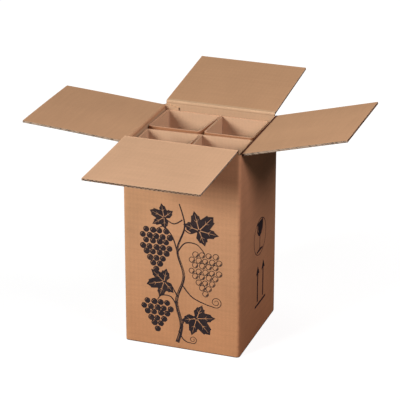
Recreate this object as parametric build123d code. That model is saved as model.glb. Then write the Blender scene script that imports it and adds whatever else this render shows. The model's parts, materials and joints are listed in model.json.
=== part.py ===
from build123d import *
import os
from math import cos, radians, sin

# Shipping carton for four bottles, standing open with two folded cell inserts in it.
# Millimetres, +Z up. X runs along the front wall, Y from the front wall to the back wall.
# The origin is the bottom centre of the carton.

# Corrugated board of the carton
board = 3.8
liner = 0.5
medium = 0.45
flute_pitch = 7.6
flank_slope = 1.0
flute_tip_rise = 0.18

# Carton, outside the walls and clear inside
outer_width = 220.0
outer_depth = 212.0
clear_height = 368.0
corner_radius = 6.5
bottom_fold_radius = 2.2
floor_layers = 4

# Creases and corner slots of the flaps
flap_shortfall = 17.4
slot = 5.0
slot_play = 0.4
slot_drop = 2.0
crease_reach = 5.0
crease_gap = 0.15
pivot_depth = 0.8
layer_play = 0.05
cut_margin = 1.0
flute_end = 4.0

# How far each flap stands above the horizontal, in degrees
flap_rise = {"left": 4.0, "right": 14.8, "back": 7.0, "front": -1.6}

# Glue tab on the inside of the back wall, at its left corner
tab_reach = 27.0
tab_thickness = 3.0
tab_drop = 4.0
tab_slant = 5.0
tab_play = 0.4

# Inserts: one strip of thinner board each, folded into two cells
insert_board = 3.0
insert_side_play = 13.4
insert_depth_play = 9.2
insert_top_play = 3.0
insert_fold = 5.0
divider_fold = 6.0
divider_play = 0.4
divider_spread = 3.2
divider_end_play = 0.5
insert_wall_play = 0.4
insert_middle_gap = 10.5

# How each insert was dropped in: turned in degrees, shifted to the right, and leaning out of square
back_insert_turn = 0.6
back_insert_shift = -3.5
back_sleeve_lean = 4.0
back_divider_lean = 6.5
back_divider_shift = 4.0
front_insert_turn = 2.8
front_insert_shift = -1.0
front_sleeve_lean = 2.5
front_divider_lean = 4.5
front_divider_shift = 1.5

# Worked out from the sizes above
floor_height = floor_layers * board
layer_step = board + layer_play
half_width = outer_width / 2
half_depth = outer_depth / 2
inner_half_width = half_width - board
inner_half_depth = half_depth - board
inner_pivot = board - pivot_depth
lowest_crease = floor_height + clear_height + inner_pivot
flap_length = min(outer_width, outer_depth) - flap_shortfall
insert_width = 2 * inner_half_width - insert_side_play
insert_depth = inner_half_depth - insert_depth_play
insert_height = clear_height - insert_top_play

# The flaps in the order in which they close. Each crease is one board higher than the last.
closing_order = ["left", "right", "back", "front"]
crease_height = {side: lowest_crease + i * layer_step for i, side in enumerate(closing_order)}
outward = {"left": (-1, 0, 0), "right": (1, 0, 0), "back": (0, 1, 0), "front": (0, -1, 0)}
wall_distance = {"left": half_width, "right": half_width, "back": half_depth, "front": half_depth}
wall_half_length = {"left": half_depth, "right": half_depth, "back": half_width, "front": half_width}


def crease_place(side):
    """The side's crease: local X points outward, local Y along the crease, local Z up."""
    x, y, _ = outward[side]
    reach = wall_distance[side] - pivot_depth
    return Plane(origin=(x * reach, y * reach, crease_height[side]), x_dir=outward[side], z_dir=(0, 0, 1))


def flap_profile():
    """Section of a flap across its crease: the board thins to a web where it folds."""
    web_outer = pivot_depth * crease_gap / crease_reach
    web_inner = inner_pivot * crease_gap / crease_reach
    return [
        (crease_gap, -web_outer),
        (crease_reach, -pivot_depth),
        (flap_length, -pivot_depth),
        (flap_length, inner_pivot),
        (crease_reach, inner_pivot),
        (crease_gap, web_inner),
    ]


def flute_opening(centre, turn):
    """Open channel between one wave of the medium and the liner that its wide side lies on.

    turn is 1 where that liner is the upper one and -1 where it is the lower one.
    """
    half_core = board / 2 - liner
    middle = board / 2 - pivot_depth
    half_sheet = medium / 2 * (1 + flank_slope**2) ** 0.5
    at_middle = flute_pitch / 4 - half_sheet
    tip = medium - half_core
    flank_end = tip + flute_tip_rise
    wide = at_middle + flank_slope * half_core
    narrow = at_middle + flank_slope * flank_end

    def at(across, up):
        return (centre + turn * across, middle + turn * up)

    outline = Polyline(at(-narrow, flank_end), at(-wide, half_core), at(wide, half_core), at(narrow, flank_end))
    outline += ThreePointArc(at(narrow, flank_end), at(0, tip), at(-narrow, flank_end))
    return make_face(outline)


def flap_ends(side):
    """Where a flap starts and ends along its crease. The left flap clears the glue tab behind it."""
    end = wall_half_length[side] - slot
    if side == "left":
        return inner_half_depth - tab_thickness - tab_play, end
    return end, end


def flap(side):
    """One top flap, with its flutes running from the free edge back to the crease."""
    low, high = flap_ends(side)
    profile = make_face(Polyline(*flap_profile(), close=True))
    body = extrude(Plane.XZ * profile, low) + extrude(Plane.XZ * profile, -high)
    waves = int((low + high - flute_pitch) / flute_pitch)
    middle = (high - low) / 2
    openings = Sketch()
    for i in range(2 * waves):
        turn = 1 if i % 2 == 0 else -1
        openings += flute_opening(middle + (i + 0.5 - waves) * flute_pitch / 2, turn)
    edge = Plane(origin=(flap_length, 0, 0), x_dir=(0, 1, 0), z_dir=(1, 0, 0))
    body -= extrude(edge * openings, crease_reach + flute_end - flap_length)
    lift = Rotation(0, -flap_rise[side], 0)
    return crease_place(side).location * lift * body


def crease_cut(side):
    """What is cut off the top of a wall, so that it thins to the web of its crease."""
    web_outer = pivot_depth * crease_gap / crease_reach
    web_inner = inner_pivot * crease_gap / crease_reach
    above = layer_step * len(closing_order)
    outline = Polyline(
        (pivot_depth + cut_margin, -crease_reach),
        (pivot_depth, -crease_reach),
        (web_outer, -crease_gap),
        (-web_inner, -crease_gap),
        (-inner_pivot, -crease_reach),
        (-inner_pivot - cut_margin, -crease_reach),
        (-inner_pivot - cut_margin, above),
        (pivot_depth + cut_margin, above),
        close=True,
    )
    length = wall_half_length[side] - slot + slot_play
    cut = extrude(Plane.XZ * make_face(outline), length, both=True)
    return crease_place(side).location * cut


def corner_slot(side_x, side_y):
    """The slot between two neighbouring flaps, cut down to just under their creases."""
    sign_x = outward[side_x][0]
    sign_y = outward[side_y][1]
    bottom = (crease_height[side_x] + crease_height[side_y]) / 2 - slot_drop
    top = crease_height[closing_order[-1]] + board
    size = slot + board
    place = Location((sign_x * (half_width + board - size / 2), sign_y * (half_depth + board - size / 2), bottom))
    block = Box(size, size, top - bottom, align=(Align.CENTER, Align.CENTER, Align.MIN))
    return place * block


def bottom_flap(side, layer):
    """One closed bottom flap, glued to the flap above it."""
    width = 2 * (wall_half_length[side] - slot)
    sheet = Box(flap_length, width, board, align=(Align.MIN, Align.CENTER, Align.MIN))
    x, y, _ = outward[side]
    reach = wall_distance[side]
    inward = (-x, -y, 0)
    place = Plane(origin=(x * reach, y * reach, layer * board), x_dir=inward, z_dir=(0, 0, 1))
    return place.location * sheet


def glue_tab():
    """The tab that joins the left wall to the back wall, glued inside with a slanted end."""
    start = -inner_half_width
    top = crease_height["back"] - tab_drop
    outline = Polyline(
        (start, floor_height),
        (start + tab_reach, floor_height),
        (start + tab_reach, top - tab_slant),
        (start, top),
        close=True,
    )
    sheet = extrude(Plane.XZ * make_face(outline), tab_thickness)
    return Location((0, inner_half_depth, 0)) * sheet


def carton():
    """Walls, glue tab and closed bottom of the folded blank."""
    outside = RectangleRounded(outer_width, outer_depth, corner_radius)
    inner_radius = corner_radius - board
    inside = RectangleRounded(2 * inner_half_width, 2 * inner_half_depth, inner_radius)
    body = extrude(outside - inside, crease_height[closing_order[-1]])
    for side in closing_order:
        body -= crease_cut(side)
    for side_x in ("left", "right"):
        for side_y in ("front", "back"):
            body -= corner_slot(side_x, side_y)
    bottom = extrude(outside, floor_height)
    for layer, side in enumerate(reversed(closing_order)):
        body += bottom_flap(side, layer) & bottom
    body += glue_tab()
    base_edges = body.edges().filter_by(Plane.XY).group_by(Axis.Z)[0]
    outer_edges = [e for e in base_edges if on_outside(e)]
    return fillet(outer_edges, bottom_fold_radius)


def on_outside(edge):
    """True where an edge lies on the carton's outer faces."""
    middle = edge.position_at(0.5)
    near = corner_radius / 2
    return abs(middle.X) > half_width - near or abs(middle.Y) > half_depth - near


def insert_path(sleeve_lean, divider_lean, divider_shift):
    """Middle line of an insert's strip, seen from above, with its dividers' free ends at +Y.

    The leans say how far the +Y end of the sides and of the divider stands right of their -Y end,
    and the shift how far the divider stands right of the middle.
    """
    half_board = insert_board / 2
    side_x = insert_width / 2 - half_board
    front_y = -insert_depth / 2 + half_board
    back_y = insert_depth / 2 - half_board
    end_y = back_y - half_board - divider_end_play
    end_x = half_board + divider_play / 2
    fold_x = end_x + divider_spread

    def half(side):
        divider = [
            (divider_shift + side * end_x + divider_lean / 2, end_y),
            (divider_shift + side * fold_x - divider_lean / 2, front_y),
        ]
        sleeve = [
            (side * side_x - sleeve_lean / 2, front_y),
            (side * side_x + sleeve_lean / 2, back_y),
        ]
        return divider + sleeve

    radii = [divider_fold, insert_fold, insert_fold, insert_fold, insert_fold, divider_fold]
    return FilletPolyline(*half(-1), *reversed(half(1)), radius=radii)


def insert(sleeve_lean, divider_lean, divider_shift):
    """One folded strip: a sleeve with two cells and a doubled divider."""
    path = insert_path(sleeve_lean, divider_lean, divider_shift)
    return extrude(trace(path, line_width=insert_board), insert_height)


def placed_insert(strip, turn, shift, middle_y):
    """An insert standing on the floor, turned a little, as it was dropped in."""
    return Location((shift, middle_y, floor_height)) * Rotation(0, 0, turn) * strip


def back_insert():
    """The rear insert, against the glue tab and the back wall."""
    strip = insert(back_sleeve_lean, back_divider_lean, back_divider_shift)
    return placed_insert(strip, back_insert_turn, back_insert_shift, back_insert_middle())


def back_insert_middle():
    lean = insert_width / 2 * sin(radians(back_insert_turn))
    reach = insert_depth / 2 * cos(radians(back_insert_turn))
    at_wall = inner_half_depth - insert_wall_play - lean - reach
    at_tab = inner_half_depth - tab_thickness - insert_wall_play + lean - reach
    return min(at_wall, at_tab)


def front_insert():
    """The front insert, a little skew in front of the rear one."""
    strip = insert(front_sleeve_lean, front_divider_lean, front_divider_shift)
    middle_y = back_insert_middle() - insert_depth - insert_middle_gap
    return placed_insert(strip, front_insert_turn, front_insert_shift, middle_y)


def main():
    os.makedirs("parts", exist_ok=True)
    parts = {"carton": carton(), "back_insert": back_insert(), "front_insert": front_insert()}
    for side in closing_order:
        parts[side + "_flap"] = flap(side)
    for name, solid in parts.items():
        export_step(solid, f"parts/{name}.step")


main()
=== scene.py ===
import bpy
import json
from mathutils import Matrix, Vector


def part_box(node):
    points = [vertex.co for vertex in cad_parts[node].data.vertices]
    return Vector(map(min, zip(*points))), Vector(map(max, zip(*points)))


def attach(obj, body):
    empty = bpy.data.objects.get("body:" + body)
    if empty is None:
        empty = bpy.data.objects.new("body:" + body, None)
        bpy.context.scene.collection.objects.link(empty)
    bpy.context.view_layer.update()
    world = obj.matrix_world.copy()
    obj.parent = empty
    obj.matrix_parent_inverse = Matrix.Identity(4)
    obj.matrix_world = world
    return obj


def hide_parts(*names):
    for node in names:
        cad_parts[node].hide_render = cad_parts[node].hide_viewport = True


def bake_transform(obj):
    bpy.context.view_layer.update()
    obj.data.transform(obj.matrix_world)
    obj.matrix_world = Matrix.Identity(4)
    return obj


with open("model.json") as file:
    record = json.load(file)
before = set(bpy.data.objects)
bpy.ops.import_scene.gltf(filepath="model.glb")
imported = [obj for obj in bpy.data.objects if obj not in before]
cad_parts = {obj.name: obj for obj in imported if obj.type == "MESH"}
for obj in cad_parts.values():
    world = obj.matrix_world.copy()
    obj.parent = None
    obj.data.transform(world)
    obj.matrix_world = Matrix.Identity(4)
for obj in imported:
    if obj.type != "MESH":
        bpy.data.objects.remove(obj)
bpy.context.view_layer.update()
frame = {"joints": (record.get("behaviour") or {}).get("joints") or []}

import json
from collections import namedtuple
from math import cos, pi, radians, sin

import bpy
import numpy as np
from mathutils import Vector
from mathutils.geometry import delaunay_2d_cdt

# Everything is in metres and degrees, in the frame of the CAD model.
MM = 0.001

# Board of the carton
board = 3.8 * MM
liner = 0.3 * MM
medium = 0.35 * MM
flute_pitch = 7.6 * MM
pivot_depth = 0.8 * MM
crease_reach = 5.0 * MM
slot = 5.0 * MM
slot_drop = 2.0 * MM
corner_radius = 6.5 * MM
bottom_fold_radius = 2.2 * MM
flap_shortfall = 17.4 * MM
floor_layers = 4
bottom_flap_overlap = 0.3 * MM
core_recess = 0.5 * MM
carton_flutes = (board, liner, medium, flute_pitch)

# Flutes, and how far they stay off a board's side edges
steps_per_flute = 14
flute_margin = 0.25 * MM
closed_margin = 0.7 * MM

# Cut edges of the flaps: the flank of a last flute, frayed, and the knife's swelling of the flutes
flank_outside = 0.22 * MM
flank_inside = 0.55 * MM
flank_steps = 90
flank_levels = np.array([0.9, 0.5, 0.1])
fray_depth = 0.16 * MM
fray_waves = (1900, 700, 310)
swollen_length = 1.0 * MM
swollen_inset = 0.05 * MM
swollen_by = 2.8

# How far flaps and walls stand off a flat plane. A flap's two bows, along its crease and across
# it, are in millimetres. Flaps close one upon the other, so only the lowest and the topmost bow.
flap_bow = {"left": (0.7, 0.6), "front": (-0.7, -0.6), "right": (0.0, 0.0), "back": (0.0, 0.0)}
wall_swell = {"left": 0.8 * MM, "front": 0.7 * MM, "right": 0.8 * MM, "back": 0.8 * MM}

# Crushed strip over a crease: the stretch that bends, two pressed grooves and a bead between them
bend_reach = 2.6 * MM
press_depth = 0.22 * MM
press_place = 3.0 * MM
press_width = 1.1 * MM
bead_height = 0.12 * MM
bead_width = 2.2 * MM
bend_half = 2.2
bend_rows = 23
flat_start = 2.5 * MM
flat_rows = 5

# Places where the paper is scuffed: above 0 fibres go pale, at the corners partly a painted highlight; below
# 0 is painted shade, a dark line on the right crease
flap_edge_wear_reach = 3.0 * MM
crease_wear = 0.15
crease_wear_width = 2.4 * MM
right_crease_shade = -1.3
right_crease_shade_place = 1.1 * MM
right_crease_shade_width = 1.9 * MM
corner_wear_and_highlight_width = 3.6 * MM
foot_wear = 0.6
foot_wear_width = 4 * MM
insert_top_wear = 0.4
insert_top_wear_reach = 2.5 * MM

# Spacing and numbers of the points of the meshes
panel_step = 8 * MM
panel_edge = 2.5 * MM
strip_edge = 1.0 * MM
bottom_flap_steps = (30 * MM, 40 * MM)
wall_columns = 27
corner_columns = 7
wall_rows = 22
fold_rows = 5
tolerance = 1e-6

# Glue tab inside the back wall
tab_reach = 27.0 * MM
tab_thickness = 3.0 * MM
tab_drop = 4.0 * MM
tab_slant = 5.0 * MM
tab_play = 0.4 * MM
tab_edge = 0.8 * MM
tab_edge_lap = 0.1 * MM
tab_edge_end = 0.2 * MM
tab_edge_inset = (0.4 * MM, 0.5 * MM)
tab_columns = 8
tab_rows = 12

# Inserts
insert_board = 3.0 * MM
insert_liner = 0.6 * MM
insert_medium = 0.5 * MM
insert_pitch = 6.4 * MM
insert_fold = 5.0 * MM
divider_fold = 6.0 * MM
divider_play = 0.4 * MM
divider_spread = 3.2 * MM
divider_end_play = 0.5 * MM
insert_side_play = 13.4 * MM
insert_depth_play = 9.2 * MM
insert_wall_play = 0.4 * MM
insert_middle_gap = 10.5 * MM
insert_flutes = (insert_board, insert_liner, insert_medium, insert_pitch)

# How each insert was dropped in: turned, shifted to the right and leaning out of square
insert_turn = {"back": 0.6, "front": 2.8}
insert_shift = {"back": -3.5 * MM, "front": -1.0 * MM}
sleeve_lean = {"back": 4.0 * MM, "front": 2.5 * MM}
divider_lean = {"back": 6.5 * MM, "front": 4.5 * MM}
divider_shift = {"back": 4.0 * MM, "front": 1.5 * MM}

# Points along an insert's strip, and the strip that closes its flutes between two depths below
# the top. That strip leaves out the right side, and is greyer within a window on the divider.
insert_step = 6 * MM
bend_steps = 8
heading_reach = 0.4 * MM
insert_end = 3 * MM
insert_levels = np.array([0.33, 0.66])
closed_top = (1.4 * MM, 0.04 * MM)
closed_top_inset = 0.3 * MM
open_side = 6 * MM
divider_half_room = 14 * MM
divider_start = 8 * MM

# Prints: spacing of the points within a shape, in millimetres, and how the ink lies on the paper
print_step = 14.0
print_margin = 3
print_tolerance = 1e-4
ink_height = 0.10 * MM
ink_depth = 0.05 * MM

# Camera, fitted to the corners of the box in the photograph
camera_place = (1.059, -2.966, 1.585)
camera_turn = 19.69
camera_dip = 22.95
camera_lens = 169.56
film_width = 36.0
camera_range = 50.0

# Lamps: place, diameter, power and colour. All of them point at the same place.
lamp_target = (0.0, 0.0, 0.3)
lamps = {
    "key": ((-1.397, -2.419, 1.395), 0.9, 84.0, (1.0, 1.0, 1.0)),
    "fill": ((1.670, -0.888, 1.778), 0.65, 25.5, (1.0, 0.80, 0.84)),
    "overhead": ((0.674, 0.119, 2.179), 0.6, 12.7, (0.94, 1.0, 0.92)),
}

# Floor and world. The floor's glow is seen by the camera alone and fades to white with distance.
white = (1.0, 1.0, 1.0, 1.0)
floor_colour = (0.16, 0.16, 0.16, 1.0)
floor_roughness = 0.9
floor_glow = 0.91
glow_fade = (0.35, 1.1)
floor_half_width = 12
floor_drop = 0.0002
floor_thickness = 0.01
world_colour = (1.0, 0.86, 0.74, 1.0)
world_strength = 0.01

# The walls in the order in which they follow each other along the blank
SIDES = ("left", "front", "right", "back")
OUTWARD = {"left": (-1, 0), "front": (0, -1), "right": (1, 0), "back": (0, 1)}
ALONG = {"left": (0, -1), "front": (1, 0), "right": (0, 1), "back": (-1, 0)}

_, carton_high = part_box("carton")
half_width, half_depth = carton_high.x, carton_high.y
distance = {"left": half_width, "right": half_width, "front": half_depth, "back": half_depth}
half_length = {"left": half_depth, "right": half_depth, "front": half_width, "back": half_width}
inner_half_width = half_width - board
inner_half_depth = half_depth - board
inner_pivot = board - pivot_depth
floor_height = floor_layers * board
flap_length = 2 * min(half_width, half_depth) - flap_shortfall

# A closed flap lies flat, so its joint's upper limit tells how far it stands up at rest.
joints = {j["name"].split("_")[0]: j for j in frame["joints"]}
crease_height = {side: joints[side]["pos_m"][2] for side in SIDES}
rise = {side: 180.0 - joints[side]["range_deg"][1] for side in SIDES}
lowest_first = sorted(SIDES, key=lambda side: crease_height[side])

insert_low, insert_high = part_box("back_insert")
insert_height = insert_high.z - insert_low.z
insert_width = 2 * inner_half_width - insert_side_play
insert_depth = inner_half_depth - insert_depth_play


# Node materials

class Shader:
    """A node material that is put together line by line."""

    def __init__(self, name):
        self.material = bpy.data.materials.new(name)
        self.material.use_nodes = True
        self.tree = self.material.node_tree
        self.surface = self.tree.nodes["Principled BSDF"]
        self.output = self.tree.nodes["Material Output"]

    def node(self, kind, inputs=None, **settings):
        made = self.tree.nodes.new("ShaderNode" + kind)
        for key, value in settings.items():
            setattr(made, key, value)
        for key, value in (inputs or {}).items():
            self.put(made.inputs[key], value)
        return made

    def put(self, socket, value):
        """Links a socket to a node's output, or gives it a value of its own."""
        if isinstance(value, bpy.types.NodeSocket):
            self.tree.links.new(value, socket)
        else:
            socket.default_value = value

    def math(self, operation, a, b=0.0, clamp=False):
        return self.node("Math", {0: a, 1: b}, operation=operation, use_clamp=clamp).outputs[0]

    def plus(self, a, b, clamp=False):
        return self.math("ADD", a, b, clamp)

    def times(self, a, b, clamp=False):
        return self.math("MULTIPLY", a, b, clamp)

    def blank(self):
        """The place on the flat blank, which every mesh carries."""
        return self.node("UVMap", uv_map="blank").outputs["UV"]

    def noise(self, across, along, detail=2.0, roughness=0.5):
        """Noise on the flat blank, with so many swings to the metre in each direction."""
        place = self.node("Mapping", {"Vector": self.blank(), "Scale": (across, along, 1.0)}).outputs[0]
        inputs = {"Vector": place, "Scale": 1.0, "Detail": detail, "Roughness": roughness}
        return self.node("TexNoise", inputs, noise_dimensions="2D").outputs["Fac"]

    def band(self, value, low, high):
        """0 below low and 1 above high, with a smooth step between them."""
        inputs = {"Value": value, "From Min": low, "From Max": high}
        return self.node("MapRange", inputs, interpolation_type="SMOOTHSTEP").outputs[0]

    def swing(self, pattern, strength):
        """How far a pattern swings about its middle, times a strength."""
        return self.times(self.math("SUBTRACT", pattern, 0.5), strength)

    def mix(self, share, a, b, blend="MIX"):
        made = self.node("Mix", {0: share}, data_type="RGBA", blend_type=blend)
        self.put(made.inputs[6], a)
        self.put(made.inputs[7], b)
        return made.outputs[2]

    def attribute(self, name):
        return self.node("Attribute", attribute_name=name).outputs["Fac"]

    def finish(self, colour, roughness, specular, height, strength, distance=0.1 * MM):
        """The finished material. distance is how many metres high its bumps are."""
        bump = self.node("Bump", {"Height": height, "Strength": strength, "Distance": distance})
        for key, value in (("Base Color", colour), ("Roughness", roughness),
                           ("Specular IOR Level", specular), ("Normal", bump.outputs[0])):
            self.put(self.surface.inputs[key], value)
        return self.material


def linear(rgb):
    """A colour as it is seen, 0 to 255, as the light values that shaders use."""
    parts = [c / 255 for c in rgb]
    return tuple(c / 12.92 if c <= 0.04045 else ((c + 0.055) / 1.055) ** 2.4 for c in parts) + (1.0,)


def shade(colour, factor):
    """A linear colour made darker or lighter."""
    return tuple(min(c * factor, 1.0) for c in colour[:3]) + (1.0,)


def kraft(name, colour, pitch, washboard=0.5, warm_foot=0.0, mottle=0.13):
    """Kraft liner: fibres, soft mottling, specks, the washboard of the flutes and scuffed pale folds.

    mottle is how far the tone goes up and down. warm_foot makes the paper a little more orange
    towards the bottom of the walls. The mesh's scuff values turn fibres pale, and carry painted
    light as well: the pale band at the vertical corners is partly a painted highlight, and values
    below 0 paint a dark line of shade along the right crease.
    """
    s = Shader(name)
    base = linear(colour)
    clouds = s.noise(9.0, 5.0, detail=4.0, roughness=0.6)
    fibres = s.noise(260.0, 1500.0, detail=3.0, roughness=0.65)
    streaks = s.noise(12.0, 160.0, detail=3.0)
    blank = s.node("SeparateXYZ", {0: s.blank()})
    wave = s.math("COSINE", s.times(blank.outputs[0], 2 * pi / pitch))
    tone = s.plus(s.swing(clouds, 0.75), s.swing(fibres, 0.8))
    tone = s.plus(tone, s.swing(streaks, 0.4))
    tone = s.plus(tone, s.times(wave, 0.07 * washboard))
    tone = s.plus(tone, 0.5, clamp=True)
    paper = s.mix(tone, shade(base, 1 - mottle), shade(base, 1 + mottle))
    specks = s.band(s.noise(620.0, 700.0, detail=1.0), 0.76, 0.80)
    paper = s.mix(s.times(specks, 0.45), paper, shade(base, 0.45))
    wear = s.attribute("wear")
    # Pale scuffed fibres; at the vertical corners this pale band is partly a painted highlight.
    rubbed_and_highlit = s.times(wear, s.band(s.noise(70.0, 90.0, detail=4.0), 0.3, 0.62))
    paper = s.mix(s.times(rubbed_and_highlit, 0.7), paper, shade(base, 1.3))
    # Values below 0 paint a dark line of shade on the paper, along the right crease.
    paper = s.mix(s.times(wear, -1.0, clamp=True), paper, linear(painted_crease_shade_colour))
    if warm_foot:
        low = s.math("SUBTRACT", 1.0, s.band(blank.outputs[1], 0.0, warm_foot_height))
        paper = s.mix(s.times(low, warm_foot), paper, warm_tint, blend="MULTIPLY")
    roughness = s.plus(kraft_roughness, s.swing(fibres, 0.25))
    height = s.plus(s.times(wave, 0.5 * washboard), s.times(fibres, 0.35))
    height = s.plus(height, s.times(clouds, 0.6))
    return s.finish(paper, roughness, specular=0.25, height=height, strength=0.5)


def fluting_paper(name, colour, frayed=0.0):
    """The medium between the liners, rough paper. frayed is how dark its small spots get."""
    s = Shader(name)
    base = linear(colour)
    fibres = s.noise(900.0, 500.0, detail=3.0)
    paper = s.mix(fibres, shade(base, 0.75), shade(base, 1.2))
    if frayed:
        spots = s.band(s.noise(260.0, 260.0, detail=3.0, roughness=0.7), 0.50, 0.62)
        paper = s.mix(s.times(spots, frayed), paper, shade(base, 0.22))
    return s.finish(paper, roughness=0.95, specular=0.15, height=fibres, strength=0.4)


def ink(name, colour, paper_colour):
    """Flexo ink on kraft: nearly black, thin in places, with pinholes."""
    s = Shader(name)
    base, paper = linear(colour), linear(paper_colour)
    clouds = s.noise(40.0, 25.0, detail=4.0)
    grain = s.noise(900.0, 1300.0, detail=2.0)
    thin = s.plus(s.times(clouds, 0.35), s.times(grain, 0.65))
    pinholes = s.times(s.band(thin, 0.58, 0.70), 0.22)
    tint = s.mix(clouds, shade(base, 0.85), shade(base, 1.2))
    inked = s.mix(pinholes, tint, paper)
    return s.finish(inked, roughness=0.8, specular=0.15, height=grain, strength=0.3, distance=0.05 * MM)


# Colour of the painted shade along the right crease.
painted_crease_shade_colour = (72, 32, 16)
kraft_roughness = 0.82
warm_tint = (1.0, 0.82, 0.66, 1.0)
warm_foot_height = 0.24

outer_kraft_colour = (194, 145, 106)
outer_kraft = kraft("outer_liner", outer_kraft_colour, flute_pitch, warm_foot=0.5, mottle=0.22)
# The inner liners are lit and shaded copies of one paper: the front flap's paler as painted light; the
# sides', the back flap's and the walls' darker as painted shade.
inner_kraft_lit = kraft("inner_liner", (208, 168, 134), flute_pitch)
inner_wall_kraft_shaded = kraft("inner_wall_liner", (192, 159, 126), flute_pitch)
inner_kraft_shaded = kraft("inner_liner_warm", (192, 150, 115), flute_pitch)
inner_kraft_back_shaded = kraft("inner_liner_back", (187, 146, 111), flute_pitch)
insert_kraft = kraft("insert_liner", (204, 168, 135), insert_pitch, washboard=0.6)
# The inserts' liner on the side toward the walls is darker as painted shade, so the gaps by the walls look
# dark.
insert_outer_kraft_shaded = kraft("insert_outer_liner", (168, 116, 80), insert_pitch, washboard=0.6)
# The carton's flute paper is far darker than the paper's own tone, as painted shade: it covers the flutes,
# the liners' inner faces and the cut gaps, so they look shaded.
flute_paper = fluting_paper("flute_paper", (80, 55, 40))
cut_edge = fluting_paper("cut_edge", (176, 154, 132), frayed=0.9)
insert_flute_paper = fluting_paper("insert_flute_paper", (186, 148, 114))
insert_cut_edge = fluting_paper("insert_cut_edge", (222, 176, 143), frayed=0.3)
divider_cut_edge = fluting_paper("divider_cut_edge", (172, 144, 120), frayed=0.6)
print_ink = ink("print_ink", (46, 38, 40), outer_kraft_colour)


# Meshes

def new_object(name, data):
    made = bpy.data.objects.new(name, data)
    bpy.context.scene.collection.objects.link(made)
    return made


class Sheets:
    """Gathers the sheets of one piece: points, blank coordinates, scuff and painted-light values, and faces
    by material.
    """

    def __init__(self):
        self.points, self.blank, self.wear, self.faces, self.kinds = [], [], [], [], []
        self.count = 0

    def add(self, points, blank, faces, kinds, wear=None):
        self.points.append(points)
        self.blank.append(blank)
        self.wear.append(np.zeros(len(points)) if wear is None else wear)
        self.faces.extend([tuple(i + self.count for i in face) for face in faces])
        self.kinds.extend(kinds)
        self.count += len(points)

    def slab(self, top, bottom, blank, kinds=(0, 0, 0), keep=None, wear=None, ring=False):
        """A closed sheet between two grids of points. kinds are the materials of top, bottom, rim."""
        nu, nv = top.shape[:2]
        cells_u, cells_v = (nu if ring else nu - 1), nv - 1
        keep = np.ones((cells_u, cells_v), bool) if keep is None else keep
        size = nu * nv
        faces, face_kinds = [], []

        def kept(i, j):
            if ring:
                i %= cells_u
            return 0 <= i < cells_u and 0 <= j < cells_v and keep[i, j]

        for i in range(cells_u):
            for j in range(cells_v):
                if not keep[i, j]:
                    continue
                k = (i + 1) % nu
                a, b, c, d = i * nv + j, k * nv + j, k * nv + j + 1, i * nv + j + 1
                faces += [(a, b, c, d), (d + size, c + size, b + size, a + size)]
                face_kinds += [kinds[0], kinds[1]]
                rims = ((i, j - 1, a, b), (i + 1, j, b, c), (i, j + 1, c, d), (i - 1, j, d, a))
                for ni, nj, p, q in rims:
                    if not kept(ni, nj):
                        faces.append((q, p, p + size, q + size))
                        face_kinds.append(kinds[2])
        points = np.concatenate([top.reshape(-1, 3), bottom.reshape(-1, 3)])
        flat = np.tile(blank.reshape(-1, 2), (2, 1))
        worn_and_painted = None if wear is None else np.tile(wear.reshape(-1), 2)
        # Points that no face uses are dropped.
        used = np.unique(np.array(faces).ravel())
        place = np.full(len(points), -1)
        place[used] = np.arange(len(used))
        faces = [tuple(place[list(f)]) for f in faces]
        self.add(points[used], flat[used], faces, face_kinds, None if worn_and_painted is None else worn_and_painted[used])

    def piece(self, name, materials, sharp=35.0):
        """The finished object, with sharp edges left sharp and curved sheets smooth."""
        mesh = bpy.data.meshes.new(name)
        points = np.concatenate(self.points)
        faces = [tuple(int(i) for i in f) for f in self.faces]
        mesh.from_pydata(points.tolist(), [], faces)
        loops = np.zeros(len(mesh.loops), np.int32)
        mesh.loops.foreach_get("vertex_index", loops)
        layer = mesh.uv_layers.new(name="blank")
        layer.data.foreach_set("uv", np.concatenate(self.blank)[loops].astype(np.float32).ravel())
        wear = mesh.attributes.new("wear", "FLOAT", "POINT")
        wear.data.foreach_set("value", np.concatenate(self.wear).astype(np.float32))
        for material in materials:
            mesh.materials.append(material)
        mesh.polygons.foreach_set("material_index", np.array(self.kinds, np.int32))
        mesh.shade_smooth()
        mesh.set_sharp_from_angle(angle=radians(sharp))
        mesh.update()
        return new_object(name, mesh)


def grid(u, v):
    """Every pair of the two sets of places, as two arrays."""
    return np.meshgrid(u, v, indexing="ij")


def smooth_step(t):
    t = np.clip(t, 0.0, 1.0)
    return t * t * (3 - 2 * t)


def bell(t, middle, width):
    """1 at the middle, and 0 some widths away from it."""
    return np.exp(-(((t - middle) / width) ** 2))


def stack(*parts):
    """Points or places out of the arrays of their coordinates."""
    return np.stack(parts, -1)


def last_flank(sheets, place, u, v, levels, blank, kind):
    """The frayed flank of a last flute, along both sides of a board."""
    gl, gn = grid(np.linspace(v[0], v[-1], flank_steps), levels)
    fine, drift, coarse = fray_waves
    fray = fray_depth * np.sin(gl * fine + 2 * np.sin(gl * drift)) * np.sin(gl * coarse)
    for edge, inward in ((u[0], 1), (u[-1], -1)):
        outer = place(edge + inward * (flank_outside + fray), gl, gn)
        inner = place(edge + inward * (flank_inside + fray), gl, gn)
        pair = (outer, inner) if inward > 0 else (inner, outer)
        sheets.slab(*pair, stack(*blank(edge + 0 * gl, gl + gn)), (kind,) * 3)


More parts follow.
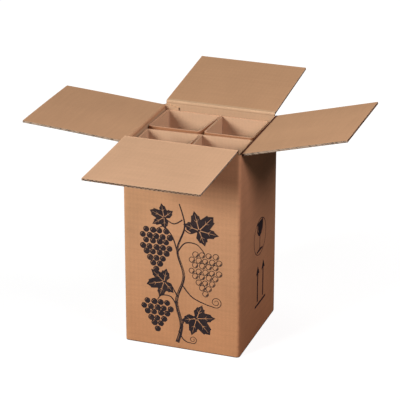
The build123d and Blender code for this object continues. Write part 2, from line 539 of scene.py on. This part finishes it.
def corrugated(sheets, place, u, v, flutes, blank, kinds, wear=None, closed=False):
    """Board between two liners: u runs across the flutes, v along them, n through the board.

    flutes are the thickness of the board, liner and medium, and the pitch. kinds are the materials
    of the outer liner, inner liner, core and cut edge. closed puts the flank of a last flute along
    both sides, and swells the flutes' paper where they were cut.
    """
    thick, skin, core, pitch = flutes
    outer_kind, inner_kind, core_kind, cut_kind = kinds
    gu, gv = grid(u, v)
    flat = stack(*blank(gu, gv))
    worn_and_painted = None if wear is None else wear(gu, gv)
    outer_kinds, inner_kinds = (core_kind, outer_kind, cut_kind), (inner_kind, core_kind, cut_kind)
    sheets.slab(place(gu, gv, skin), place(gu, gv, 0.0), flat, outer_kinds, wear=worn_and_painted)
    sheets.slab(place(gu, gv, thick), place(gu, gv, thick - skin), flat, inner_kinds, wear=worn_and_painted)
    if closed:
        last_flank(sheets, place, u, v, flank_levels * (thick - 2 * skin) + skin, blank, cut_kind)
    rise_of_wave = (thick - 2 * skin - core) / 2
    margin = closed_margin if closed else flute_margin
    start, end = u[0] + margin, u[-1] - margin
    across = np.linspace(start, end, int((end - start) / pitch * steps_per_flute))
    turn = 2 * pi * across / pitch
    middle = thick / 2 + rise_of_wave * np.sin(turn)
    slope = rise_of_wave * 2 * pi / pitch * np.cos(turn)
    lean = np.hypot(1.0, slope)

    def wave(along, paper, rim_kind):
        gu, gv = grid(across, along)
        offset_u = (slope / lean * paper / 2)[:, None]
        offset_n = (paper / 2 / lean)[:, None]
        top = place(gu - offset_u, gv, middle[:, None] + offset_n)
        bottom = place(gu + offset_u, gv, middle[:, None] - offset_n)
        sheets.slab(top, bottom, stack(*blank(gu, gv)), (core_kind, core_kind, rim_kind))

    wave(v, core, cut_kind if closed else core_kind)
    if closed:
        wave(v[-1] - np.array([swollen_length, swollen_inset]), swollen_by * core, inner_kind)


# Places on the carton

def blank_middle(side):
    """Where the middle of a wall lies along the flat blank, from the joint at the back left."""
    start = 0.0
    for other in SIDES:
        if other == side:
            return start + half_length[other]
        start += 2 * half_length[other]


def flap_ends(side):
    """Where a flap starts and ends along its crease. The left flap clears the glue tab."""
    end = half_length[side] - slot
    if side == "left":
        return -(inner_half_depth - tab_thickness - tab_play), end
    return -end, end


def flap_warp(side, c, r):
    """How far a flap stands off a flat plane: a bow along the crease and one across it."""
    along, across = flap_bow[side]
    x = c / half_length[side]
    y = np.clip(r / flap_length, 0, 1)
    return MM * (along * (1 - x**2) * y + across * 4 * y * (1 - y) * y)


def by_wall(side, c, reach, z):
    """A point given along a wall, from the carton's middle towards that wall, and up."""
    ox, oy = OUTWARD[side]
    ax, ay = ALONG[side]
    return stack(ox * reach + ax * c, oy * reach + ay * c, z)


def on_crease(side, c, out, up):
    """A point given along the crease, outward and up from the crease's axis."""
    return by_wall(side, c, distance[side] - pivot_depth + out, crease_height[side] + up)


def flap_place(side):
    """Where a point of a flap lies, given along the crease, away from it and through the board."""
    angle = radians(rise[side])

    def place(c, r, n):
        n = n - pivot_depth + flap_warp(side, c, r)
        return on_crease(side, c, r * cos(angle) - n * sin(angle), r * sin(angle) + n * cos(angle))

    return place


def blank_of(side):
    """Where a point of a flap lies on the flat blank."""
    middle = blank_middle(side)
    return lambda c, r: (middle + c, crease_height[side] + r)


def edge_wear(low, high, length):
    """Rubbed fibres within a few millimetres of a flap's cut edges."""
    def wear(c, r):
        from_edge = np.minimum(np.minimum(c - low, high - c), length - r)
        return 1 - smooth_step(from_edge / flap_edge_wear_reach)

    return wear


def even(low, high, step, edge=0.0):
    """Evenly spaced places, with a closer pair next to each end."""
    inner = np.linspace(low + edge, high - edge, max(2, int((high - low) / step) + 1))
    return np.concatenate([[low], inner, [high]]) if edge else inner


def inner_paper(side):
    """The inner liner of a flap. The front one is a little paler, as painted light, and the back one a little
    darker, as painted shade: they are lit and shaded copies of one paper.
    """
    return {"front": inner_kraft_lit, "back": inner_kraft_back_shaded}.get(side, inner_kraft_shaded)


def flap_board(side):
    """One top flap, beyond the strip over its crease."""
    low, high = flap_ends(side)
    sheets = Sheets()
    c = even(low, high, panel_step, panel_edge)
    r = even(crease_reach, flap_length, panel_step, panel_edge)
    wear = edge_wear(low, high, flap_length)
    corrugated(sheets, flap_place(side), c, r, carton_flutes, blank_of(side), (0, 1, 2, 3), wear, closed=True)
    made = sheets.piece(side + "_flap_board", (outer_kraft, inner_paper(side), flute_paper, cut_edge))
    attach(made, side + "_top")
    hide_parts(side + "_flap")


def crease_strip(side):
    """The crushed board over a crease, bent from the wall into the flap as they stand at rest."""
    low, high = flap_ends(side)
    c = even(low, high, panel_step, strip_edge)
    # Rows lie closer together where the strip bends.
    s = np.concatenate([np.linspace(-crease_reach, -flat_start, flat_rows),
                        np.linspace(-bend_half, bend_half, bend_rows) * MM,
                        np.linspace(flat_start, crease_reach, flat_rows)])
    opening = pi / 2 - radians(rise[side])
    turn = smooth_step((s + bend_reach) / (2 * bend_reach)) * opening
    pressed = press_depth * bell(np.abs(s), press_place, press_width)
    bead = bead_height * bell(s, 0.0, bead_width)
    gc, gs = grid(c, s)

    def side_of_board(depth):
        n = np.broadcast_to(depth, gs.shape) + flap_warp(side, gc, np.clip(gs, 0, None))
        out = -n * np.cos(turn) + gs * np.sin(turn)
        up = n * np.sin(turn) + gs * np.cos(turn)
        return on_crease(side, gc, out, up)

    top = side_of_board(inner_pivot - pressed + bead)
    bottom = side_of_board(-pivot_depth + 0 * s)
    flat = stack(blank_middle(side) + gc, crease_height[side] + gs)
    wear = crease_wear * bell(s, 0.0, crease_wear_width)
    # On the right crease a dark line of painted shade takes the place of the pale scuffing.
    if side == "right":
        wear = right_crease_shade * bell(s, right_crease_shade_place, right_crease_shade_width)
    sheets = Sheets()
    sheets.slab(top, bottom, flat, (1, 0, 2), wear=np.broadcast_to(wear, gs.shape))
    inner = inner_wall_kraft_shaded if side == "back" else inner_paper(side)
    made = sheets.piece(side + "_crease", (outer_kraft, inner, flute_paper), sharp=50.0)
    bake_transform(made)


# Walls and bottom of the carton

def wall_bulge(side, c, z):
    """How far the middle of a wall stands out past its corners."""
    x = np.clip(c / half_length[side], -1, 1)
    y = np.clip(z / crease_height[side], 0, 1)
    return wall_swell[side] * (1 - x**2) ** 2 * np.sin(pi * y)


# A column of the walls: its outer point, the way inward, its wall, its place along that wall
# from the middle, and its place along the blank
Column = namedtuple("Column", "point inward side along blank")


def next_side(side):
    """The wall that follows along the blank."""
    return SIDES[(SIDES.index(side) + 1) % 4]


def wall_ring():
    """All columns round the carton."""
    columns = []
    cut = np.arcsin(1 - slot / corner_radius)
    for side in SIDES:
        ox, oy = OUTWARD[side]
        ax, ay = ALONG[side]
        flat = half_length[side] - corner_radius
        for c in np.linspace(-flat, flat, wall_columns):
            point = (ox * distance[side] + ax * c, oy * distance[side] + ay * c)
            columns.append(Column(point, (-ox, -oy), side, c, blank_middle(side) + c))
        reach = distance[side] - corner_radius
        for t in np.linspace(cut, pi / 2 - cut, corner_columns):
            nx, ny = ox * cos(t) + ax * sin(t), oy * cos(t) + ay * sin(t)
            point = (ox * reach + ax * flat + corner_radius * nx, oy * reach + ay * flat + corner_radius * ny)
            blank = blank_middle(side) + flat + 2 * corner_radius * t / (pi / 2)
            wall, c = side, flat + corner_radius * sin(t)
            if t > pi / 4 + tolerance:
                wall = next_side(side)
                c = -(half_length[wall] - corner_radius + corner_radius * cos(t))
            columns.append(Column(point, (-nx, -ny), wall, c, blank))
    return columns


def slot_bottom(side):
    """The bottom of the slot at the end of a wall, between its flap and the next one."""
    return (crease_height[side] + crease_height[next_side(side)]) / 2 - slot_drop


def wall_top(column, after):
    """How high the wall reaches between two columns: up to a flap's strip or a slot's bottom."""
    furthest = max(abs(column.along), abs(after.along))
    if column.side == after.side and furthest <= half_length[column.side] - slot + tolerance:
        return crease_height[column.side] - crease_reach
    if column.along > 0:
        return slot_bottom(column.side)
    return slot_bottom(SIDES[SIDES.index(column.side) - 1])


def walls(sheets):
    """The four walls as one ring: outer liner, recessed core and inner liner."""
    columns = wall_ring()
    fold = [bottom_fold_radius * (1 - cos(a)) for a in np.linspace(0, pi / 2, fold_rows)]
    tops = [crease_height[side] - crease_reach for side in SIDES] + [slot_bottom(side) for side in SIDES]
    tops = sorted(set(round(z, 6) for z in tops))
    plain = np.linspace(floor_height, tops[0], wall_rows)[:-1]
    rows = np.array(fold + list(plain) + tops)
    turn = np.arccos(np.clip(1 - rows / bottom_fold_radius, -1, 1))
    inset = np.where(rows < bottom_fold_radius, bottom_fold_radius * (1 - np.sin(turn)), 0.0)
    core_rows = rows.copy()
    core_rows[-len(tops):] -= core_recess
    points = np.array([c.point for c in columns])
    inward = np.array([c.inward for c in columns])
    swell = np.array([[wall_bulge(c.side, c.along, z) for z in rows] for c in columns])
    blank = np.array([[(c.blank, z) for z in rows] for c in columns])
    keep = np.array([rows[1:] <= wall_top(c, after) + tolerance
                     for c, after in zip(columns, columns[1:] + columns[:1])])
    # A pale band at the vertical corners: scuffing, and partly a painted highlight where the rounded corner
    # catches the light.
    corners = [blank_middle(side) + half_length[side] for side in SIDES]
    to_corner = np.array([min(abs(c.blank - corner) for corner in corners) for c in columns])
    wear = bell(to_corner, 0.0, corner_wear_and_highlight_width)[:, None]
    wear = wear + bell(rows, 0.0, foot_wear_width)[None, :] * foot_wear

    def level(n, heights=rows):
        depth = n - swell
        xy = points[:, None, :] + inward[:, None, :] * depth[..., None]
        return stack(xy[..., 0], xy[..., 1], np.broadcast_to(heights, depth.shape))

    sheets.slab(level(liner), level(inset), blank, (2, 0, 1), keep=keep, wear=wear, ring=True)
    sheets.slab(level(board - liner, core_rows), level(np.maximum(inset, liner), core_rows), blank,
                (2, 2, 2), keep=keep, ring=True)
    sheets.slab(level(board), level(board - liner), blank, (1, 2, 1), keep=keep, wear=wear, ring=True)


def bottom_flap(sheets, side, layer):
    """One closed bottom flap under or over the others."""
    end = half_length[side] - slot
    step_along, step_across = bottom_flap_steps

    def place(c, r, n):
        return by_wall(side, c, distance[side] - r, layer * board + n + 0 * c)

    c = even(-end, end, step_along)
    r = even(board - bottom_flap_overlap, flap_length, step_across)
    corrugated(sheets, place, c, r, carton_flutes, lambda c, r: (blank_middle(side) + c, -r), (0, 1, 2, 0))


def glue_tab(sheets):
    """The glued tab inside the back wall, pressed flat, with a slanted end and a dark strip of painted shade
    at that end.
    """
    top = crease_height["back"] - tab_drop

    def place(c, z, n):
        share = (c + inner_half_width) / tab_reach
        slanted_top = top - tab_slant * share
        height = floor_height + (z - floor_height) * (slanted_top - floor_height) / (top - floor_height)
        return stack(c, inner_half_depth - n + 0 * c, height)

    end = -inner_half_width + tab_reach
    inset_low, inset_high = tab_edge_inset
    # The second slab is a dark strip of flute paper set into the tab's end, painted shade along its edge.
    for low, high, start, stop, kind in (
            (0.0, tab_thickness, -inner_half_width, end - tab_edge, 1),
            (inset_low, tab_thickness - inset_high, end - tab_edge - tab_edge_lap, end - tab_edge_end, 2)):
        gu, gv = grid(np.linspace(start, stop, tab_columns), np.linspace(floor_height, top, tab_rows))
        flat = stack(blank_middle("back") - gu, gv)
        sheets.slab(place(gu, gv, low), place(gu, gv, high), flat, (kind,) * 3)


# Prints on the walls, in millimetres along the wall and up it

def arc(x, y, radius, start, end, steps):
    angles = np.radians(np.linspace(start, end, steps))
    return stack(x + radius * np.cos(angles), y + radius * np.sin(angles))


def disc(x, y, radius, steps=22):
    return arc(x, y, radius, 0, 360 - 360 / steps, steps)


def curve(points, steps=9):
    """A smooth line through some points."""
    p = np.array([points[0], *points, points[-1]], float)
    t = np.linspace(0, 1, steps, endpoint=False)[:, None]
    runs = [b + ((c - a) * t + (2 * a - 5 * b + 4 * c - d) * t**2 + (3 * b - a - 3 * c + d) * t**3) / 2
            for a, b, c, d in zip(p, p[1:], p[2:], p[3:])]
    return np.concatenate(runs + [p[-1:]])


def ribbon(line, start, end):
    """The outline of a line that goes from one width to another."""
    line = np.array(line, float)
    step = np.gradient(line, axis=0)
    side = stack(-step[:, 1], step[:, 0]) / np.linalg.norm(step, axis=1)[:, None]
    half = np.linspace(start, end, len(line))[:, None] / 2
    return np.concatenate([line + side * half, (line - side * half)[::-1]])


def grape(x, y, radius, filled):
    """A berry: dark with a bright crescent, or a ring with a dark one."""
    shine = np.concatenate([arc(x, y, radius * 0.66, 100, 190, 7),
                            arc(x - radius * 0.08, y + radius * 0.08, radius * 0.46, 185, 105, 7)])
    if filled:
        return [(disc(x, y, radius), [shine])]
    shadow = np.concatenate([arc(x, y, radius * 0.72, -80, 10, 7),
                             arc(x - 0.7, y + 0.7, radius * 0.60, 5, -75, 7)])
    return [(disc(x, y, radius), [disc(x, y, radius - 1.3)]), (shadow, [])]


def bunch(x, top, rows, radius, filled):
    """Berries in rows that get narrower downward."""
    shapes = []
    for i, count in enumerate(rows):
        for k in range(count):
            shake = sin(7.3 * i + 4.1 * k + x)
            across = (k - (count - 1) / 2) * (2 * radius + 0.9) + 0.5 * shake
            down = (i + 0.5) * radius * 1.82 + 0.5 * sin(5.9 * k + 2.7 * i)
            shapes += grape(x + across, top - down, radius * (1 + 0.04 * shake), filled)
    return shapes


def leaf(x, y, size, heading):
    """A lobed vine leaf with its veins left open. It grows from x, y along its heading.

    half is one side of its outline, as angles from the heading and reaches from x, y.
    """
    half = [(0, 1.0), (12, 0.83), (16, 0.86), (26, 0.64), (35, 0.52), (42, 0.70), (47, 0.72), (57, 0.94),
            (66, 0.76), (72, 0.76), (82, 0.58), (90, 0.52), (99, 0.64), (105, 0.62), (117, 0.78),
            (128, 0.60), (135, 0.60), (146, 0.46), (158, 0.40), (172, 0.16)]
    around = half + [(-angle, reach) for angle, reach in half[:0:-1]]
    angles = np.radians([angle + heading for angle, _ in around])
    reach = np.array([r for _, r in around]) * size
    outline = stack(x + reach * np.cos(angles), y + reach * np.sin(angles))
    veins = []
    for angle, length in ((0, 0.86), (57, 0.78), (-57, 0.78), (117, 0.60), (-117, 0.60)):
        way = np.array([cos(radians(heading + angle)), sin(radians(heading + angle))])
        root = np.array([x, y])
        spine = [root + way * size * t for t in (0.05, length / 2, length)]
        veins.append(ribbon(spine, 0.045 * size, 0.012 * size))
        for turn in (-42, 42):
            twig = np.array([cos(radians(heading + angle + turn)), sin(radians(heading + angle + turn))])
            start = root + way * size * length * 0.52
            veins.append(ribbon([start, start + twig * size * 0.09, start + twig * size * 0.18],
                                0.025 * size, 0.008 * size))
    return [(outline, veins)]


def tendril(x, y, radius, start, turns):
    """A line that winds inward round x, y."""
    angles = np.linspace(0, turns * 360, int(turns * 26))
    reach = radius * (1 - 0.8 * angles / angles[-1])
    way = np.radians(start + angles)
    return [(ribbon(stack(x + reach * np.cos(way), y + reach * np.sin(way)), 1.5, 0.9), [])]


def vine():
    """A vine that climbs the front wall, with leaves, dark bunches and a light one."""
    stem = curve([(-8, 12), (0, 48), (-9, 96), (5, 146), (-7, 196), (7, 244), (-3, 286)])
    bark = [ribbon(stem[a:b] + np.array([off, 0]), 0.7, 0.3) for a, b, off in
            ((2, 14, -1.3), (9, 22, 1.2), (18, 31, -0.9), (27, 40, 0.8))]
    shapes = [(ribbon(stem, 7.5, 2.2), bark)]
    stalks = (((-7, 192), (8, 212), (30, 212), (45, 196)), ((-6, 188), (-16, 220), (-32, 238), (-46, 232)),
              ((-8, 84), (-20, 102), (-38, 102), (-46, 92)), ((6, 238), (18, 232), (34, 240)),
              ((3, 256), (-14, 246), (-32, 256)), ((-7, 104), (-18, 122), (-33, 130)),
              ((-2, 40), (12, 70), (29, 66)), ((1, 130), (20, 108), (44, 98), (62.2, 93.7)),
              ((-5, 36), (2, 22), (10, 16), (18, 15.1)))
    for points in stalks:
        shapes.append((ribbon(curve(points), 2.6, 1.6), []))
    shapes += leaf(34, 240, 40, 48) + leaf(-32, 256, 29, 158)
    shapes += leaf(-33, 130, 35, 196) + leaf(29, 66, 39, -48)
    shapes += bunch(-47, 234, (4, 5, 4, 5, 4, 3, 2, 1), 5.9, True)
    shapes += bunch(46, 198, (4, 5, 4, 5, 4, 3, 2, 1), 5.9, False)
    shapes += bunch(-46, 93, (4, 5, 4, 3, 2, 1), 5.9, True)
    shapes += tendril(66, 104, 11, -110, 1.8) + tendril(22, 22, 8, -120, 1.6)
    return shapes


def handling_signs():
    """The common signs for fragile goods and for this way up, on the right wall."""
    def rounded(x, z, width, height, radius):
        parts = [arc(x + sx * (width / 2 - radius), z + sz * (height / 2 - radius), radius, a, a + 90, 8)
                 for sx, sz, a in ((1, 1, 0), (-1, 1, 90), (-1, -1, 180), (1, -1, 270))]
        return np.concatenate(parts)

    def both_sides(half, x):
        half = np.array(half, float)
        return np.concatenate([half * (1, 1) + (x, 0), (half * (-1, 1) + (x, 0))[::-1]])

    shapes = [(rounded(7, 193, 70, 71, 34), [rounded(7, 193, 67, 68, 32.5)])]
    bowl = both_sides([(17, 224), (17.5, 214), (15, 205), (9, 198), (1.6, 194.5), (1.4, 172), (3, 169.5),
                       (17, 167.8), (17, 164.8)], 6)
    shine = np.array([(-8.5, 220), (-6, 220), (-5.5, 212), (-3, 204), (-6.5, 207), (-8.8, 213)])
    shapes.append((bowl, [shine]))
    for x in (-4, 28):
        shapes.append((both_sides([(0.01, 138), (10, 121), (2.8, 122.5), (2.8, 66)], x), []))
    shapes.append((np.array([(-18, 57), (44, 57), (44, 61.5), (-18, 61.5)], float), []))
    return shapes


def inside(points, loop):
    """Which points lie in a closed loop."""
    x, y = points[:, :1], points[:, 1:]
    x0, y0 = loop[:, 0], loop[:, 1]
    x1, y1 = np.roll(x0, -1), np.roll(y0, -1)
    crossed = (y0 > y) != (y1 > y)
    at = x0 + (y - y0) * (x1 - x0) / np.where(y1 == y0, 1, y1 - y0)
    return np.sum(crossed & (x < at), axis=1) % 2 == 1


def lay_print(sheets, side, shapes, kind):
    """Lays shapes on a wall as one thin closed layer. Each shape is an outline and its gaps."""
    loops = [loop for outline, gaps in shapes for loop in (outline, *gaps)]
    points = np.concatenate(loops)
    edges, start = [], 0
    for loop in loops:
        edges += [(start + i, start + (i + 1) % len(loop)) for i in range(len(loop))]
        start += len(loop)
    low, high = points.min(0), points.max(0)
    # Points within the shapes let the print follow the swell of the wall.
    gx, gy = grid(*(np.arange(low[i] + print_margin, high[i], print_step) for i in (0, 1)))
    extra = stack(gx.ravel(), gy.ravel())
    every = [Vector(p) for p in np.concatenate([points, extra]).tolist()]
    flat, _, triangles, *_ = delaunay_2d_cdt(every, edges, [], 0, print_tolerance)
    flat = np.array([tuple(p) for p in flat])
    triangles = np.array([tuple(t) for t in triangles])
    centre = flat[triangles].mean(1)
    inked = np.zeros(len(triangles), bool)
    for outline, gaps in shapes:
        near = np.all((centre > outline.min(0)) & (centre < outline.max(0)), axis=1).nonzero()[0]
        here = inside(centre[near], outline)
        for gap in gaps:
            here &= ~inside(centre[near], gap)
        inked[near[here]] = True
    triangles = triangles[inked]
    used, triangles = np.unique(triangles, return_inverse=True)
    triangles = triangles.reshape(-1, 3)
    c, z = flat[used, 0] * MM, flat[used, 1] * MM

    def level(n):
        return by_wall(side, c, distance[side] + wall_bulge(side, c, z) + n, z)

    # Edges that only one triangle has make the rim between the two faces of the layer.
    size = len(used)
    border = {}
    for a, b, d in triangles:
        for edge in ((a, b), (b, d), (d, a)):
            if edge[::-1] in border:
                del border[edge[::-1]]
            else:
                border[edge] = True
    faces = [tuple(t) for t in triangles] + [(d + size, b + size, a + size) for a, b, d in triangles]
    faces += [(a + size, b + size, b, a) for a, b in border]
    blank = np.tile(stack(blank_middle(side) + c, z), (2, 1))
    sheets.add(np.concatenate([level(ink_height), level(-ink_depth)]), blank, faces, [kind] * len(faces))


def carton():
    """Walls with their prints, closed bottom flaps and glue tab."""
    sheets = Sheets()
    walls(sheets)
    lay_print(sheets, "front", vine(), 3)
    lay_print(sheets, "right", handling_signs(), 3)
    for layer, side in enumerate(reversed(lowest_first)):
        bottom_flap(sheets, side, layer)
    glue_tab(sheets)
    made = sheets.piece("carton_board", (outer_kraft, inner_wall_kraft_shaded, flute_paper, print_ink))
    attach(made, "box")
    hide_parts("carton")


# Inserts

def insert_corners(which):
    """Corners of the middle line of an insert's strip, with the radius of each fold.

    The leans say how far the +Y end of the sides and of the divider stands right of their -Y end.
    """
    half = insert_board / 2
    side_x = insert_width / 2 - half
    front_y = -insert_depth / 2 + half
    back_y = insert_depth / 2 - half
    end_y = back_y - half - divider_end_play
    end_x = half + divider_play / 2
    fold_x = end_x + divider_spread
    sleeve, divider, middle = sleeve_lean[which] / 2, divider_lean[which] / 2, divider_shift[which]

    def side(sign):
        return [(middle + sign * end_x + divider, end_y), (middle + sign * fold_x - divider, front_y),
                (sign * side_x - sleeve, front_y), (sign * side_x + sleeve, back_y)]

    radii = [divider_fold] + 4 * [insert_fold] + [divider_fold]
    return side(-1) + side(1)[::-1], radii


def rounded_path(corners, radii, step):
    """Points along a line whose corners are rounded."""
    def straight(start, end):
        runs = max(2, int(np.linalg.norm(end - start) / step))
        return [start + (end - start) * k / runs for k in range(1, runs + 1)]

    pts = [np.array(p) for p in corners]
    line, previous = [pts[0]], pts[0]
    for i, radius in enumerate(radii, start=1):
        a, b, c = pts[i - 1], pts[i], pts[i + 1]
        before = (a - b) / np.linalg.norm(a - b)
        after = (c - b) / np.linalg.norm(c - b)
        half = np.arccos(np.clip(before @ after, -1, 1)) / 2
        back = radius / np.tan(half)
        start, end = b + before * back, b + after * back
        centre = b + (before + after) / np.linalg.norm(before + after) * radius / np.sin(half)
        line += straight(previous, start)
        first = np.arctan2(*(start - centre)[::-1])
        sweep = np.arctan2(*(end - centre)[::-1]) - first
        sweep = (sweep + pi) % (2 * pi) - pi
        angles = [first + sweep * k / bend_steps for k in range(1, bend_steps + 1)]
        line += [centre + radius * np.array([cos(angle), sin(angle)]) for angle in angles]
        previous = end
    return np.array(line + straight(previous, pts[-1]))


def insert_middle(which):
    """Where the middle of an insert stands between the front and the back wall."""
    lean = insert_width / 2 * sin(radians(insert_turn["back"]))
    reach = insert_depth / 2 * cos(radians(insert_turn["back"]))
    at_wall = inner_half_depth - insert_wall_play - lean - reach
    at_tab = inner_half_depth - tab_thickness - insert_wall_play + lean - reach
    back = min(at_wall, at_tab)
    return back if which == "back" else back - insert_depth - insert_middle_gap


def insert_place(which, line, run):
    """Where a point of an insert's strip lies, given along the strip, up and through the board."""
    turn = radians(insert_turn[which])
    left, forward = insert_shift[which], insert_middle(which)

    def at(u):
        return np.interp(u, run, line[:, 0]), np.interp(u, run, line[:, 1])

    def place(u, z, n):
        (px, py), (x0, y0), (x1, y1) = at(u), at(u - heading_reach), at(u + heading_reach)
        dx, dy = x1 - x0, y1 - y0
        size = np.hypot(dx, dy)
        off = n - insert_board / 2
        x, y = px - dy / size * off, py + dx / size * off
        return stack(cos(turn) * x - sin(turn) * y + left, sin(turn) * x + cos(turn) * y + forward,
                     floor_height + z + 0 * x)

    return place


def close_top(sheets, place, which, line, run):
    """Closes the flutes just under an insert's top, where the cut has pressed the liners together.

    The right side is left open, and the divider has a greyer cut edge than the rest.
    """
    x, y = line[:-1, 0], line[:-1, 1]
    closed = x < insert_width / 2 - open_side
    divider = (abs(x - divider_shift[which]) < divider_half_room) & (y > divider_start - insert_depth / 2)
    divider &= abs(np.diff(line[:, 1])) > abs(np.diff(line[:, 0]))
    gu, gv = grid(run, insert_height - np.array(closed_top))
    inner, outer = place(gu, gv, insert_board - closed_top_inset), place(gu, gv, closed_top_inset)
    for kind, part in ((3, closed & ~divider), (4, divider)):
        sheets.slab(inner, outer, stack(gu, gv), (kind,) * 3, keep=part[:, None])


def insert(which):
    """One folded strip of thinner board, which makes two cells and a doubled divider."""
    line = rounded_path(*insert_corners(which), insert_step)
    run = np.concatenate([[0], np.cumsum(np.linalg.norm(np.diff(line, axis=0), axis=1))])
    place = insert_place(which, line, run)

    def wear(u, z):
        share = (z - insert_height + insert_top_wear_reach) / insert_top_wear_reach
        return insert_top_wear * smooth_step(share)

    sheets = Sheets()
    v = np.concatenate([[0.0, insert_end], insert_height * insert_levels,
                        [insert_height - insert_end, insert_height]])
    corrugated(sheets, place, run, v, insert_flutes, lambda u, z: (u, z), (0, 2, 1, 3), wear)
    close_top(sheets, place, which, line, run)
    papers = (insert_kraft, insert_flute_paper, insert_outer_kraft_shaded, insert_cut_edge, divider_cut_edge)
    made = sheets.piece(which + "_insert_board", papers)
    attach(made, "box")
    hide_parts(which + "_insert")


# Camera, lamps and stage

def camera():
    """The photograph's viewing angle."""
    data = bpy.data.cameras.new("camera")
    data.lens = camera_lens
    data.sensor_width = film_width
    data.clip_end = camera_range
    made = new_object("camera", data)
    made.location = camera_place
    made.rotation_euler = (radians(90 - camera_dip), 0.0, radians(camera_turn))
    bpy.context.scene.camera = made


def lamp(name, place, size, power, colour):
    """A soft round lamp."""
    data = bpy.data.lights.new(name, "AREA")
    data.shape = "DISK"
    data.size = size
    data.energy = power
    data.color = colour
    made = new_object(name, data)
    made.location = place
    made.rotation_euler = (Vector(lamp_target) - Vector(place)).to_track_quat("-Z", "Y").to_euler()


def white_floor():
    """A white floor that shows the object's shadow."""
    s = Shader("white_floor")
    s.surface.inputs["Base Color"].default_value = floor_colour
    s.surface.inputs["Roughness"].default_value = floor_roughness
    seen = s.node("LightPath").outputs["Is Camera Ray"]
    from_middle = s.node("VectorMath", {0: s.blank()}, operation="LENGTH")
    fade = s.band(from_middle.outputs["Value"], *glow_fade)
    glow = s.times(seen, s.plus(floor_glow, s.times(fade, 1 - floor_glow)))
    glow = s.node("Emission", {"Color": white, "Strength": glow})
    both = s.node("AddShader")
    s.put(both.inputs[0], s.surface.outputs[0])
    s.put(both.inputs[1], glow.outputs[0])
    s.put(s.output.inputs["Surface"], both.outputs[0])
    sheets = Sheets()
    across = np.linspace(-floor_half_width, floor_half_width, 3)
    gu, gv = grid(across, across)
    top = stack(gu, gv, 0 * gu - floor_drop)
    sheets.slab(top, top - np.array([0, 0, floor_thickness]), stack(gu, gv))
    floor = sheets.piece("floor", (s.material,))


def pale_world():
    """A faint even light from all round, which the camera sees as white."""
    world = bpy.data.worlds.new("pale_world")
    bpy.context.scene.world = world
    world.use_nodes = True
    tree = world.node_tree
    tree.nodes.clear()
    path = tree.nodes.new("ShaderNodeLightPath")
    ambient = tree.nodes.new("ShaderNodeBackground")
    ambient.inputs["Color"].default_value = world_colour
    ambient.inputs["Strength"].default_value = world_strength
    backdrop = tree.nodes.new("ShaderNodeBackground")
    backdrop.inputs["Color"].default_value = white
    mix = tree.nodes.new("ShaderNodeMixShader")
    out = tree.nodes.new("ShaderNodeOutputWorld")
    tree.links.new(path.outputs["Is Camera Ray"], mix.inputs[0])
    tree.links.new(ambient.outputs[0], mix.inputs[1])
    tree.links.new(backdrop.outputs[0], mix.inputs[2])
    tree.links.new(mix.outputs[0], out.inputs["Surface"])


camera()
for name, settings in lamps.items():
    lamp(name, *settings)
white_floor()
pale_world()
carton()
for side in SIDES:
    flap_board(side)
    crease_strip(side)
for which in ("back", "front"):
    insert(which)

bpy.context.scene.view_settings.view_transform = "Standard"
